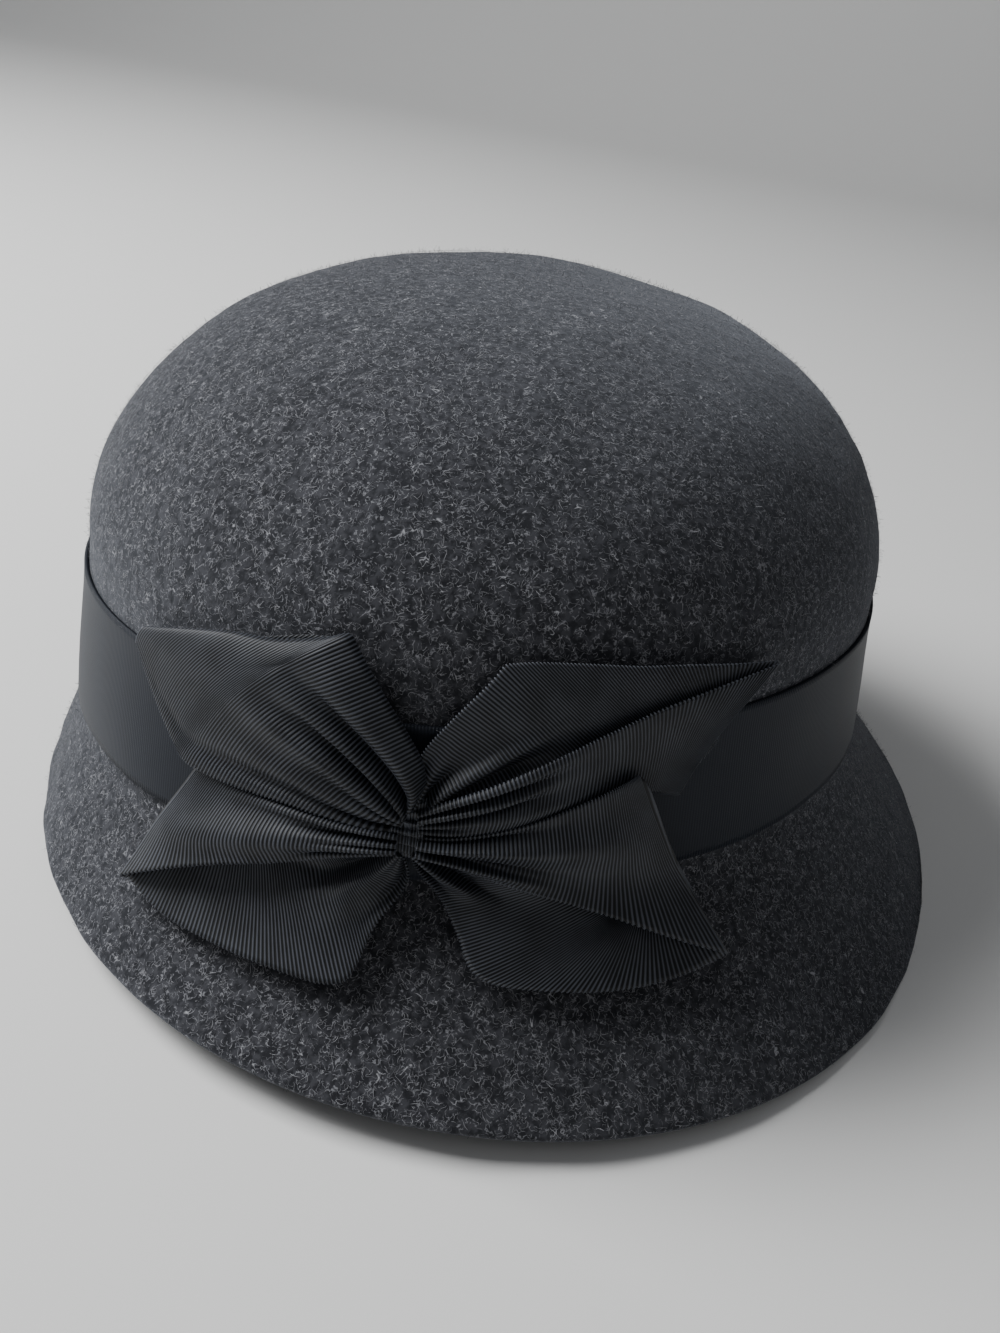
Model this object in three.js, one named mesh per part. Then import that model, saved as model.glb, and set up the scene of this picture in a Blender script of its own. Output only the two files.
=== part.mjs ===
// A cloche hat of blocked wool felt with a grosgrain band and a gathered grosgrain bow.
// Millimetres, +Z up. The hat rests on its brim with its front towards -Y.
// Azimuths go round the crown from the front (0) towards +X (a quarter turn).
import * as THREE from 'three';

const TURN = 2 * Math.PI;
const DEGREE = Math.PI / 180;

// ---------------------------------------------------------------- driving dimensions

// The crown: an oval dome on a nearly upright wall, leaning a little to one side.
const CROWN = {
  halfWidth: 88,
  halfLength: 102,
  height: 89.5,
  wallHeight: 38.5,
  wallTaper: 0.03,
  domeFullness: 1.8,
  domeSquareness: 2.5,
  lean: 2 * DEGREE,
};

// The crease where crown and brim meet: its mean height, and how far it rises on two sides.
const CREASE = { height: 26, riseToSide: 2.5, riseToFront: 5.9 };

// The brim's reach past the crown and the arch of its front edge above the surface it rests on.
const BRIM = {
  reach: 23.5,
  lessInFront: 4.5,
  moreToSide: 7,
  moreFrontAndBack: 6,
  twist: 6.2,
  frontArch: 7,
  creaseSoftness: 0.12,
};

// A shallow hollow pressed into the top of the dome.
const DENT = { x: 22, y: 26, radius: 24, depth: 1.6 };

const FELT = 2;
const GAP = 0.3;
const BAND = { height: 29.5, thickness: 0.9, clearOfCrease: 0.8, levels: 5 };

// The bow's middle: its azimuth, its height above the crease, and the size of the gathered lump.
const KNOT = { azimuth: 10.5 * DEGREE, above: 11.5, halfWidth: 5.2, halfHeight: 4.4, halfDepth: 3.2 };
const RIBBON = { thickness: 0.8, clear: 0.5, bridging: 9, roundCrown: 90 };

// Mesh fineness.
const ROUND_STEPS = 60;
const BRIM_STEPS = 7;
const WALL_STEPS = 6;
const DOME_STEPS = 10;
const ROW_STEPS = 3;
const ACROSS_STEPS = 4;

// The four ribbon loops of the bow, each a strip that runs out from the middle, turns back in a
// fold and returns underneath. A row is one line across the strip: its two ends, each as the
// distance round the crown from the bow's middle and the height above the crease, and its lift
// off the band.
const LOOPS = {
  bow_upper_left: [
    { around1: -6.5, up1: 14.0, around2: -3.0, up2: 17.5, lift: 5.0 },
    { around1: -20, up1: 16.5, around2: -5.0, up2: 31.0, lift: 5.0 },
    { around1: -39.5, up1: 17.0, around2: -14.0, up2: 43.5, lift: 4.2 },
    { around1: -47.5, up1: 22.3, around2: -34.0, up2: 40.0, lift: 3.8 },
    { around1: -56.2, up1: 31.0, around2: -54.8, up2: 34.2, lift: 3.0 },
    { around1: -56.9, up1: 31.3, around2: -55.5, up2: 34.5, lift: 2.0 },
    { around1: -56.2, up1: 31.0, around2: -54.8, up2: 34.2, lift: 1.0 },
    { around1: -47.0, up1: 23.0, around2: -34.0, up2: 39.5, lift: 1.0 },
    { around1: -38.5, up1: 17.5, around2: -15.0, up2: 42.5, lift: 1.1 },
    { around1: -20, up1: 16.8, around2: -5.5, up2: 30.5, lift: 1.8 },
    { around1: -6.8, up1: 14.0, around2: -3.4, up2: 17.5, lift: 2.6 },
  ],
  bow_lower_left: [
    { around1: -6.6, up1: 9.5, around2: -6.6, up2: 13.0, lift: 5.2 },
    { around1: -19, up1: 4.5, around2: -19, up2: 14.6, lift: 5.4 },
    { around1: -33, up1: -4.5, around2: -30, up2: 14.6, lift: 4.8 },
    { around1: -48.5, up1: -12.0, around2: -38.4, up2: 14.4, lift: 3.4 },
    { around1: -49.3, up1: -12.3, around2: -38.9, up2: 14.2, lift: 2.3 },
    { around1: -48.5, up1: -12.7, around2: -38.4, up2: 13.9, lift: 1.2 },
    { around1: -31.0, up1: -16.8, around2: -28, up2: 12.0, lift: 1.4 },
    { around1: -17, up1: -18.2, around2: -19, up2: 9.0, lift: 1.8 },
    { around1: -6.8, up1: -18.2, around2: -12, up2: 6.5, lift: 2.4 },
    { around1: -1.8, up1: 4.0, around2: -5.8, up2: 7.6, lift: 3.0 },
  ],
  bow_upper_right: [
    { around1: 3.0, up1: 17.5, around2: 6.6, up2: 13.6, lift: 5.0 },
    { around1: 22, up1: 27.5, around2: 20, up2: 17.4, lift: 5.0 },
    { around1: 39, up1: 35.5, around2: 38, up2: 20.2, lift: 4.0 },
    { around1: 62.5, up1: 37.4, around2: 45, up2: 18.0, lift: 3.2 },
    { around1: 63.3, up1: 37.9, around2: 45.6, up2: 17.8, lift: 2.2 },
    { around1: 62.5, up1: 38.4, around2: 45, up2: 18.0, lift: 1.2 },
    { around1: 46, up1: 40.5, around2: 38, up2: 20.2, lift: 1.1 },
    { around1: 27, up1: 42.3, around2: 24, up2: 18.5, lift: 1.2 },
    { around1: 12.5, up1: 42.3, around2: 18, up2: 20.0, lift: 1.8 },
    { around1: 1.6, up1: 19.0, around2: 6.8, up2: 14.2, lift: 2.6 },
  ],
  bow_lower_right: [
    { around1: 6.8, up1: 12.4, around2: 6.0, up2: 8.8, lift: 5.2 },
    { around1: 18, up1: 14.8, around2: 17, up2: 3.4, lift: 5.6 },
    { around1: 30, up1: 17.0, around2: 33, up2: -6.5, lift: 4.6 },
    { around1: 39.0, up1: 17.0, around2: 52.0, up2: -16.0, lift: 3.4 },
    { around1: 39.7, up1: 16.8, around2: 52.8, up2: -16.4, lift: 2.3 },
    { around1: 39.0, up1: 16.4, around2: 52.0, up2: -16.8, lift: 1.2 },
    { around1: 32, up1: 14.0, around2: 38.0, up2: -18.2, lift: 1.3 },
    { around1: 26, up1: 10.5, around2: 24.5, up2: -17.6, lift: 1.6 },
    { around1: 17, up1: 6.0, around2: 13.0, up2: -14.8, lift: 2.2 },
    { around1: 5.8, up1: 7.2, around2: 1.6, up2: 4.6, lift: 3.0 },
  ],
};

const MATERIALS = {
  felt: { color: 0x35363a, roughness: 0.95, metalness: 0 },
  band: { color: 0x1b1d22, roughness: 0.55, metalness: 0 },
  bow: { color: 0x17181b, roughness: 0.6, metalness: 0 },
};

// ---------------------------------------------------------------- the felt's outer surface

// How wide the crown is at a height above the middle of the crease, as a share of its foot.
function crownScale(height) {
  if (height <= 0) {
    return 1;
  }
  if (height <= CROWN.wallHeight) {
    return 1 - (CROWN.wallTaper / 2) * (1 - Math.cos(Math.PI * (height / CROWN.wallHeight)));
  }
  const rise = Math.min(1, (height - CROWN.wallHeight) / (CROWN.height - CROWN.wallHeight));
  const closing = Math.max(0, 1 - rise ** CROWN.domeFullness);
  return (1 - CROWN.wallTaper) * closing ** (1 / CROWN.domeSquareness);
}

function creaseRise(azimuth) {
  return CREASE.riseToSide * Math.sin(azimuth) + CREASE.riseToFront * Math.cos(azimuth);
}

function crownPoint(azimuth, height) {
  const scale = crownScale(height);
  const x = scale * CROWN.halfWidth * Math.sin(azimuth);
  const y = -scale * CROWN.halfLength * Math.cos(azimuth);
  const fromDent = Math.hypot(x - DENT.x, y - DENT.y) / DENT.radius;
  const onDome = height > CROWN.wallHeight ? 1 : 0;
  const dented = height - onDome * DENT.depth * Math.exp(-(fromDent ** 2));
  const point = new THREE.Vector3(x, y, dented);
  point.applyAxisAngle(new THREE.Vector3(0, 1, 0), -CROWN.lean);
  point.z += CREASE.height;
  return point;
}

// The level direction straight out from the oval at an azimuth.
function outward(azimuth) {
  const x = Math.sin(azimuth) / CROWN.halfWidth;
  const y = -Math.cos(azimuth) / CROWN.halfLength;
  return new THREE.Vector3(x, y, 0).normalize();
}

function brimReach(azimuth) {
  return (
    BRIM.reach -
    BRIM.lessInFront * Math.cos(azimuth) +
    BRIM.moreToSide * Math.sin(azimuth) +
    BRIM.moreFrontAndBack * Math.cos(2 * azimuth) +
    BRIM.twist * Math.sin(2 * azimuth)
  );
}

function brimEdge(azimuth) {
  const edge = new THREE.Vector3(
    CROWN.halfWidth * Math.sin(azimuth),
    -CROWN.halfLength * Math.cos(azimuth),
    BRIM.frontArch * Math.max(0, Math.cos(azimuth)) ** 2,
  );
  return edge.addScaledVector(outward(azimuth), brimReach(azimuth));
}

// A point of the brim, from the crease (0) to the edge (1). It starts straight down the wall
// and flares out in a soft bend.
function brimPoint(azimuth, share) {
  const crease = crownPoint(azimuth, creaseRise(azimuth));
  const edge = brimEdge(azimuth);
  const soft = BRIM.creaseSoftness;
  const flare = (Math.hypot(share, soft) - soft) / (Math.hypot(1, soft) - soft);
  return new THREE.Vector3(
    THREE.MathUtils.lerp(crease.x, edge.x, flare),
    THREE.MathUtils.lerp(crease.y, edge.y, flare),
    THREE.MathUtils.lerp(crease.z, edge.z, share),
  );
}

// ---------------------------------------------------------------- closed meshes from grids

// A closed mesh from a list of points and faces with the corners in order seen from outside.
function meshFrom(points, faces) {
  const geometry = new THREE.BufferGeometry();
  const flat = points.flatMap((point) => [point.x, point.y, point.z]);
  geometry.setAttribute('position', new THREE.Float32BufferAttribute(flat, 3));
  geometry.setIndex(faces.flat());
  geometry.computeVertexNormals();
  return geometry;
}

function named(name, geometry, finish) {
  const mesh = new THREE.Mesh(geometry, new THREE.MeshStandardMaterial(MATERIALS[finish]));
  mesh.name = name;
  return mesh;
}

// The way out of a grid's surface at one of its points, from the points beside it.
function gridNormal(grid, row, column, wraps) {
  const last = grid.length - 1;
  const count = grid[0].length;
  const before = wraps ? (column + count - 1) % count : Math.max(0, column - 1);
  const after = wraps ? (column + 1) % count : Math.min(count - 1, column + 1);
  const along = grid[Math.min(last, row + 1)][column].clone().sub(grid[Math.max(0, row - 1)][column]);
  const round = grid[row][after].clone().sub(grid[row][before]);
  return round.cross(along).normalize();
}

// Two triangles for each cell between consecutive rings of a closed round grid.
function ringFaces(rings, steps) {
  const faces = [];
  for (let ring = 0; ring + 1 < rings.length; ring += 1) {
    for (let step = 0; step < steps; step += 1) {
      const next = (step + 1) % steps;
      const [a, b] = [rings[ring] + step, rings[ring] + next];
      const [c, d] = [rings[ring + 1] + next, rings[ring + 1] + step];
      faces.push([a, b, c], [a, c, d]);
    }
  }
  return faces;
}

// ---------------------------------------------------------------- the felt hood

// Rings of the outer surface from the brim's edge up to just short of the top.
function hoodRings() {
  const azimuths = Array.from({ length: ROUND_STEPS }, (_, step) => (TURN * step) / ROUND_STEPS);
  const rings = [];
  for (let step = BRIM_STEPS; step > 0; step -= 1) {
    rings.push(azimuths.map((azimuth) => brimPoint(azimuth, (step / BRIM_STEPS) ** 1.3)));
  }
  for (let step = 0; step <= WALL_STEPS; step += 1) {
    const share = step / WALL_STEPS;
    rings.push(
      azimuths.map((azimuth) =>
        crownPoint(azimuth, THREE.MathUtils.lerp(creaseRise(azimuth), CROWN.wallHeight, share)),
      ),
    );
  }
  for (let step = 1; step < DOME_STEPS; step += 1) {
    const share = Math.sin((Math.PI / 2) * (step / DOME_STEPS));
    const height = THREE.MathUtils.lerp(CROWN.wallHeight, CROWN.height, share);
    rings.push(azimuths.map((azimuth) => crownPoint(azimuth, height)));
  }
  return rings;
}

function feltHood() {
  const outer = hoodRings();
  const inner = outer.map((ring, row) =>
    ring.map((point, column) => point.clone().addScaledVector(gridNormal(outer, row, column, true), -FELT)),
  );
  // The cut edge is level, so that the hat stands on it.
  inner[0].forEach((point, step) => {
    point.z = outer[0][step].z;
  });
  const top = crownPoint(0, CROWN.height);
  const innerTop = top.clone().add(new THREE.Vector3(0, 0, -FELT));
  const points = [...inner.toReversed().flat(), ...outer.flat(), top, innerTop];
  const ringCount = 2 * outer.length;
  const rings = Array.from({ length: ringCount }, (_, ring) => ring * ROUND_STEPS);
  const faces = ringFaces(rings, ROUND_STEPS);
  const topIndex = ringCount * ROUND_STEPS;
  for (let step = 0; step < ROUND_STEPS; step += 1) {
    const next = (step + 1) % ROUND_STEPS;
    const lastOuter = rings[ringCount - 1];
    faces.push([lastOuter + step, lastOuter + next, topIndex]);
    faces.push([next, step, topIndex + 1]);
  }
  return named('felt_hood', meshFrom(points, faces), 'felt');
}

// ---------------------------------------------------------------- the hat band

function hatBand() {
  const heights = Array.from({ length: BAND.levels + 1 }, (_, level) =>
    THREE.MathUtils.lerp(BAND.clearOfCrease, BAND.height, level / BAND.levels),
  );
  const face = heights.map((up) => ({ out: GAP + BAND.thickness, up }));
  const back = heights.toReversed().map((up) => ({ out: GAP, up }));
  const section = [...face, ...back];
  const points = section.flatMap(({ out, up }) =>
    Array.from({ length: ROUND_STEPS }, (_, step) => {
      const azimuth = (TURN * step) / ROUND_STEPS;
      const onFelt = crownPoint(azimuth, creaseRise(azimuth) + up);
      return onFelt.addScaledVector(outward(azimuth), out);
    }),
  );
  const rings = [...section.keys(), 0].map((ring) => ring * ROUND_STEPS);
  return named('hat_band', meshFrom(points, ringFaces(rings, ROUND_STEPS)), 'band');
}

// ---------------------------------------------------------------- ribbon laid on the hat

// A point over the front of the hat, given as on a flat pattern: the distance round the crown
// from the bow's middle, the height above the crease (below it is on the brim), and the lift
// off the band. The ribbon bridges the crease in a soft curve.
function laid({ around, up, lift }) {
  const azimuth = KNOT.azimuth + around / RIBBON.roundCrown;
  const reach = Math.hypot(up, RIBBON.bridging);
  const onBrim = (reach - up) / 2;
  const onWall = (reach + up) / 2;
  const crease = crownPoint(azimuth, creaseRise(azimuth));
  const edge = brimEdge(azimuth);
  const slope = Math.atan2(brimReach(azimuth), crease.z - edge.z);
  const share = onBrim / (onBrim + onWall);
  const tilt = Math.atan2(share * Math.sin(slope), 1 - share + share * Math.cos(slope));
  const off = GAP + BAND.thickness + RIBBON.clear + lift;
  const out = onBrim * Math.sin(slope) + off * Math.cos(tilt);
  const point = crownPoint(azimuth, creaseRise(azimuth) + onWall);
  point.addScaledVector(outward(azimuth), out);
  point.z += off * Math.sin(tilt) - onBrim * Math.cos(slope);
  return point;
}

const ROW_FIELDS = ['around1', 'up1', 'around2', 'up2', 'lift'];

// A row between the named rows of a loop, on a smooth curve through them.
function rowAt(rows, place) {
  const first = Math.min(rows.length - 2, Math.floor(place));
  const share = place - first;
  const near = [first - 1, first, first + 1, first + 2].map(
    (index) => rows[THREE.MathUtils.clamp(index, 0, rows.length - 1)],
  );
  const row = {};
  ROW_FIELDS.forEach((field) => {
    const [p0, p1, p2, p3] = near.map((each) => each[field]);
    const slope1 = (p2 - p0) / 4;
    const slope2 = (p3 - p1) / 4;
    const bend = share * share * (3 - 2 * share);
    const lead = share * (1 - share) * (1 - share) * slope1;
    const tail = share * share * (share - 1) * slope2;
    row[field] = THREE.MathUtils.lerp(p1, p2, bend) + lead + tail;
  });
  return row;
}

// The ribbon's middle surface as a grid: along the strip, and across it.
function loopGrid(rows) {
  const count = (rows.length - 1) * ROW_STEPS;
  return Array.from({ length: count + 1 }, (_, step) => {
    const row = rowAt(rows, step / ROW_STEPS);
    return Array.from({ length: ACROSS_STEPS + 1 }, (__, column) => {
      const share = column / ACROSS_STEPS;
      return laid({
        around: THREE.MathUtils.lerp(row.around1, row.around2, share),
        up: THREE.MathUtils.lerp(row.up1, row.up2, share),
        lift: row.lift,
      });
    });
  });
}

// A ribbon loop with its real thickness: closed rings round the strip, capped at both ends.
function ribbonLoop(name, rows) {
  const grid = loopGrid(rows);
  const half = RIBBON.thickness / 2;
  const sections = grid.map((line, row) => {
    const sides = line.map((point, column) => {
      const normal = gridNormal(grid, row, column, false);
      return [point.clone().addScaledVector(normal, half), point.clone().addScaledVector(normal, -half)];
    });
    const above = sides.map((side) => side[0]);
    const below = sides.map((side) => side[1]);
    return [...above, ...below.toReversed()];
  });
  const around = sections[0].length;
  const rings = sections.map((_, index) => index * around);
  const faces = ringFaces(rings, around);
  const lastRing = rings[rings.length - 1];
  for (let step = 0; step < ACROSS_STEPS; step += 1) {
    const [a, b] = [step, step + 1];
    const [c, d] = [around - 2 - step, around - 1 - step];
    faces.push([b, a, d], [b, d, c]);
    faces.push([lastRing + a, lastRing + b, lastRing + c], [lastRing + a, lastRing + c, lastRing + d]);
  }
  return named(name, meshFrom(sections.flat(), faces), 'bow');
}

// The gathered middle: a small lump with a ridge for each pleat.
function bowGather() {
  const pleats = 8;
  const ridge = 0.08;
  const steps = 32;
  const levels = 7;
  const centre = laid({ around: 0, up: KNOT.above, lift: KNOT.halfDepth });
  const right = laid({ around: 1, up: KNOT.above, lift: KNOT.halfDepth }).sub(centre).normalize();
  const above = laid({ around: 0, up: KNOT.above + 1, lift: KNOT.halfDepth }).sub(centre).normalize();
  const out = right.clone().cross(above).normalize();
  const points = [];
  for (let level = 1; level < levels; level += 1) {
    const climb = Math.PI * (level / levels);
    for (let step = 0; step < steps; step += 1) {
      const angle = (TURN * step) / steps;
      const swell = Math.sin(climb) * (1 + ridge * Math.cos(pleats * angle));
      const point = centre.clone();
      point.addScaledVector(right, KNOT.halfWidth * swell * Math.cos(angle));
      point.addScaledVector(above, KNOT.halfHeight * swell * Math.sin(angle));
      points.push(point.addScaledVector(out, -KNOT.halfDepth * Math.cos(climb)));
    }
  }
  points.push(centre.clone().addScaledVector(out, KNOT.halfDepth));
  points.push(centre.clone().addScaledVector(out, -KNOT.halfDepth));
  const rings = Array.from({ length: levels - 1 }, (_, ring) => ring * steps);
  const faces = ringFaces(rings, steps);
  const top = rings[rings.length - 1];
  const topIndex = points.length - 2;
  for (let step = 0; step < steps; step += 1) {
    const next = (step + 1) % steps;
    faces.push([top + step, top + next, topIndex], [next, step, topIndex + 1]);
  }
  return named('bow_gather', meshFrom(points, faces), 'bow');
}

// ---------------------------------------------------------------- the hat

const hat = new THREE.Group();
hat.add(feltHood());
hat.add(hatBand());
Object.entries(LOOPS).forEach(([name, rows]) => hat.add(ribbonLoop(name, rows)));
hat.add(bowGather());

// The origin is under the middle of the whole hat, on the surface it rests on.
const bounds = new THREE.Box3().setFromObject(hat);
const middle = bounds.getCenter(new THREE.Vector3());
hat.position.set(-middle.x, -middle.y, -bounds.min.z);

export default hat;
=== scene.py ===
# %% [markdown]
# # A felt cloche hat with a gathered ribbon bow
# The hat is three things: one blocked felt hood, a ribbon band round the foot of its crown, and
# a bow made of four ribbon loops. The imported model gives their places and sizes. This lesson
# makes their looks: hairy felt, ribbed ribbon, pleats and stitches. Everything is in metres,
# with +Z up and the front of the hat towards -Y.

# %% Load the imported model
import math

import bpy
import numpy as np
from mathutils import Matrix, Vector


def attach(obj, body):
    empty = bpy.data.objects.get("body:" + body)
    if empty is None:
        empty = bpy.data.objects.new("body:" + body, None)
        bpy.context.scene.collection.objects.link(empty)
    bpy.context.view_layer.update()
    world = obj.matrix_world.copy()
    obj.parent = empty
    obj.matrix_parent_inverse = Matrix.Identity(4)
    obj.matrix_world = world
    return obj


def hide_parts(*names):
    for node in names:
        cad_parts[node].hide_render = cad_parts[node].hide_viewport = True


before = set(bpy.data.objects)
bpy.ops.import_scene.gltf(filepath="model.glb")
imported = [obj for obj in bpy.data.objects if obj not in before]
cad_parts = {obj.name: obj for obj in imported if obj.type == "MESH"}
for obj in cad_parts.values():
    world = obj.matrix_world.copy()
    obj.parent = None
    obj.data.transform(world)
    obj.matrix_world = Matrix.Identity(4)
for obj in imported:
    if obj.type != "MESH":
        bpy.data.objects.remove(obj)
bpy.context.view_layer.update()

# %% [markdown]
# ## The hat's own form
# A hatter steams the felt over a wooden block, so the crown is one smooth oval dome and the
# brim flares out of it at a soft crease. Both can be written as formulas of the azimuth, the
# angle round the hat from its front. Formulas are chosen over sculpting because band, bow and
# hairs all need to ask the same surface where it is. The sizes are the ones the CAD part uses.

# %% Sizes of the felt hood
MM = 0.001
HALF_WIDTH, HALF_LENGTH, CROWN_HEIGHT = 88.0, 102.0, 89.5
WALL_HEIGHT, WALL_TAPER = 38.5, 0.03
DOME_FULLNESS, DOME_SQUARENESS = 1.8, 2.5
LEAN = math.radians(2)
CREASE_HEIGHT, CREASE_TO_SIDE, CREASE_TO_FRONT = 26.0, 2.5, 5.9
REACH, REACH_FRONT, REACH_SIDE, REACH_ENDS, REACH_TWIST = 23.5, -4.5, 7.0, 6.0, 6.2
FRONT_ARCH = 7.0
CREASE_SOFTNESS = 0.12
DENT_X, DENT_Y, DENT_RADIUS, DENT_DEPTH = 22.0, 26.0, 24.0, 1.6
FELT = 2.0


# %% The crown and the brim as formulas
def crown_scale(height):
    """How wide the crown is at a height, as a share of its foot."""
    wall = 1 - WALL_TAPER / 2 * (1 - np.cos(np.pi * np.clip(height / WALL_HEIGHT, 0, 1)))
    rise = np.clip((height - WALL_HEIGHT) / (CROWN_HEIGHT - WALL_HEIGHT), 0, 1)
    dome = (1 - WALL_TAPER) * np.maximum(0, 1 - rise**DOME_FULLNESS) ** (1 / DOME_SQUARENESS)
    return np.where(height > WALL_HEIGHT, dome, wall)


def crease_rise(azimuth):
    return CREASE_TO_SIDE * np.sin(azimuth) + CREASE_TO_FRONT * np.cos(azimuth)


def crown(azimuth, height):
    """Points of the crown's outer face, leaning a little to one side."""
    azimuth, height = np.broadcast_arrays(np.asarray(azimuth, float), np.asarray(height, float))
    scale = crown_scale(height)
    x = scale * HALF_WIDTH * np.sin(azimuth)
    y = -scale * HALF_LENGTH * np.cos(azimuth)
    from_dent = np.hypot(x - DENT_X, y - DENT_Y) / DENT_RADIUS
    z = height - np.where(height > WALL_HEIGHT, DENT_DEPTH, 0) * np.exp(-(from_dent**2))
    leaning = x * math.cos(LEAN) - z * math.sin(LEAN)
    upright = x * math.sin(LEAN) + z * math.cos(LEAN) + CREASE_HEIGHT
    return np.stack([leaning, y, upright], axis=-1)


def outward(azimuth):
    """The level direction straight out from the oval."""
    azimuth = np.asarray(azimuth, float)
    way = np.stack([np.sin(azimuth) / HALF_WIDTH, -np.cos(azimuth) / HALF_LENGTH, 0 * azimuth], -1)
    return way / np.linalg.norm(way, axis=-1, keepdims=True)


def brim_reach(azimuth):
    return (
        REACH
        + REACH_FRONT * np.cos(azimuth)
        + REACH_SIDE * np.sin(azimuth)
        + REACH_ENDS * np.cos(2 * azimuth)
        + REACH_TWIST * np.sin(2 * azimuth)
    )


def brim_edge(azimuth):
    azimuth = np.asarray(azimuth, float)
    arch = FRONT_ARCH * np.maximum(0, np.cos(azimuth)) ** 2
    foot = np.stack([HALF_WIDTH * np.sin(azimuth), -HALF_LENGTH * np.cos(azimuth), arch], -1)
    return foot + outward(azimuth) * brim_reach(azimuth)[..., None]


def brim(azimuth, share):
    """Points of the brim's upper face, from the crease (0) to the edge (1)."""
    azimuth, share = np.broadcast_arrays(np.asarray(azimuth, float), np.asarray(share, float))
    start, end = crown(azimuth, crease_rise(azimuth)), brim_edge(azimuth)
    soft = CREASE_SOFTNESS
    flare = (np.hypot(share, soft) - soft) / (np.hypot(1, soft) - soft)
    along = np.stack([flare, flare, share], -1)
    return start + (end - start) * along


around = np.linspace(0, 2 * np.pi, 720, endpoint=False)
edge = brim_edge(around)
# The model's origin is under the middle of the hat's box; the formulas start at the crown's axis.
SHIFT = -(edge.min(0) + edge.max(0)) / 2
SHIFT[2] = 0
print("the crown's axis stands at", SHIFT.round(2), "mm; the box is", np.ptp(edge, axis=0).round(1))

# %% [markdown]
# ## Camera, floor and light
# The hat is seen from in front and a little above, from quite near, which makes the bow large
# and the far side of the brim small. A table-top view like this is easiest to set as an
# azimuth, a height angle, a roll and a distance. The light is a big soft window from the upper
# left with a weak fill, so that the felt keeps its depth and the ribs of the ribbon glint.

# %% Camera
AIM = np.array([6.9, -8.0, 27.7])
VIEW_AZIMUTH, VIEW_HEIGHT, VIEW_ROLL = math.radians(12.0), math.radians(28.14), math.radians(8.9)
VIEW_DISTANCE = 318.0
LENS = 36.6

forward = np.array(
    [
        -math.sin(VIEW_AZIMUTH) * math.cos(VIEW_HEIGHT),
        math.cos(VIEW_AZIMUTH) * math.cos(VIEW_HEIGHT),
        -math.sin(VIEW_HEIGHT),
    ]
)
level = np.array([math.cos(VIEW_AZIMUTH), math.sin(VIEW_AZIMUTH), 0])
upright = np.cross(level, forward)
camera_x = level * math.cos(VIEW_ROLL) + upright * math.sin(VIEW_ROLL)
camera_y = upright * math.cos(VIEW_ROLL) - level * math.sin(VIEW_ROLL)
place = (AIM + SHIFT - forward * VIEW_DISTANCE) * MM

camera_data = bpy.data.cameras.new("view")
camera_data.lens = LENS
camera_data.clip_start = 0.01
camera = bpy.data.objects.new("view", camera_data)
bpy.context.scene.collection.objects.link(camera)
axes = Matrix((camera_x, camera_y, -forward)).transposed().to_4x4()
camera.matrix_world = Matrix.Translation(Vector(place)) @ axes
bpy.context.scene.camera = camera
print("camera at", place.round(3))

# %% Floor, backdrop and light
FLOOR_PALE = (0.80, 0.79, 0.77, 1)
FLOOR_HALF_WIDTH, FLOOR_FRONT, BEND_START, BEND_RADIUS, WALL_TOP = 3.0, -2.0, 1.2, 0.6, 3.0
# Columns: name, place, size, power and colour of a lamp.
LAMPS = (
    ("window", (-0.85, -0.10, 0.85), 0.7, 25, (0.97, 0.985, 1.0)),
    ("room", (0.5, -1.0, 1.0), 1.2, 1.0, (1.0, 0.98, 0.95)),
)
WORLD_GREY, WORLD_STRENGTH = (0.62, 0.65, 0.70, 1), 0.235


def new_material(name):
    material = bpy.data.materials.new(name)
    material.use_nodes = True
    return material, material.node_tree


def floor_and_backdrop():
    """A pale sheet that runs flat under the hat and curves up far behind it."""
    profile = [(FLOOR_FRONT, 0.0)]
    for t in np.linspace(0, math.pi / 2, 12):
        profile.append((BEND_START + BEND_RADIUS * math.sin(t), BEND_RADIUS - BEND_RADIUS * math.cos(t)))
    profile.append((BEND_START + BEND_RADIUS, WALL_TOP))
    points = [(x, y, z) for y, z in profile for x in (-FLOOR_HALF_WIDTH, FLOOR_HALF_WIDTH)]
    faces = [(2 * i, 2 * i + 1, 2 * i + 3, 2 * i + 2) for i in range(len(profile) - 1)]
    mesh = bpy.data.meshes.new("pale_floor")
    mesh.from_pydata(points, [], faces)
    mesh.polygons.foreach_set("use_smooth", [True] * len(faces))
    floor = bpy.data.objects.new("pale_floor", mesh)
    bpy.context.scene.collection.objects.link(floor)
    material, tree = new_material("pale_floor")
    tree.nodes["Principled BSDF"].inputs["Base Color"].default_value = FLOOR_PALE
    tree.nodes["Principled BSDF"].inputs["Roughness"].default_value = 0.9
    mesh.materials.append(material)


def soft_light(name, place, size, power, colour):
    """A square lamp that points at the hat."""
    data = bpy.data.lights.new(name, "AREA")
    data.size, data.energy, data.color = size, power, colour
    lamp = bpy.data.objects.new(name, data)
    lamp.location = place
    way = Vector((0, 0, 0.05)) - lamp.location
    lamp.rotation_mode = "QUATERNION"
    lamp.rotation_quaternion = way.to_track_quat("-Z", "Y")
    bpy.context.scene.collection.objects.link(lamp)


floor_and_backdrop()
for lamp_values in LAMPS:
    soft_light(*lamp_values)
world = bpy.data.worlds.new("room light")
world.use_nodes = True
world.node_tree.nodes["Background"].inputs["Color"].default_value = WORLD_GREY
world.node_tree.nodes["Background"].inputs["Strength"].default_value = WORLD_STRENGTH
bpy.context.scene.world = world

# %% [markdown]
# ## From formulas to meshes
# Every surface of this hat is a grid: rings round the felt, or lines across a ribbon. One
# helper turns a grid of points into a mesh of quads with smooth shading, and keeps each
# point's place on the flat cloth as a UV map in millimetres, which the ribbon's finish reads.


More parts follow.
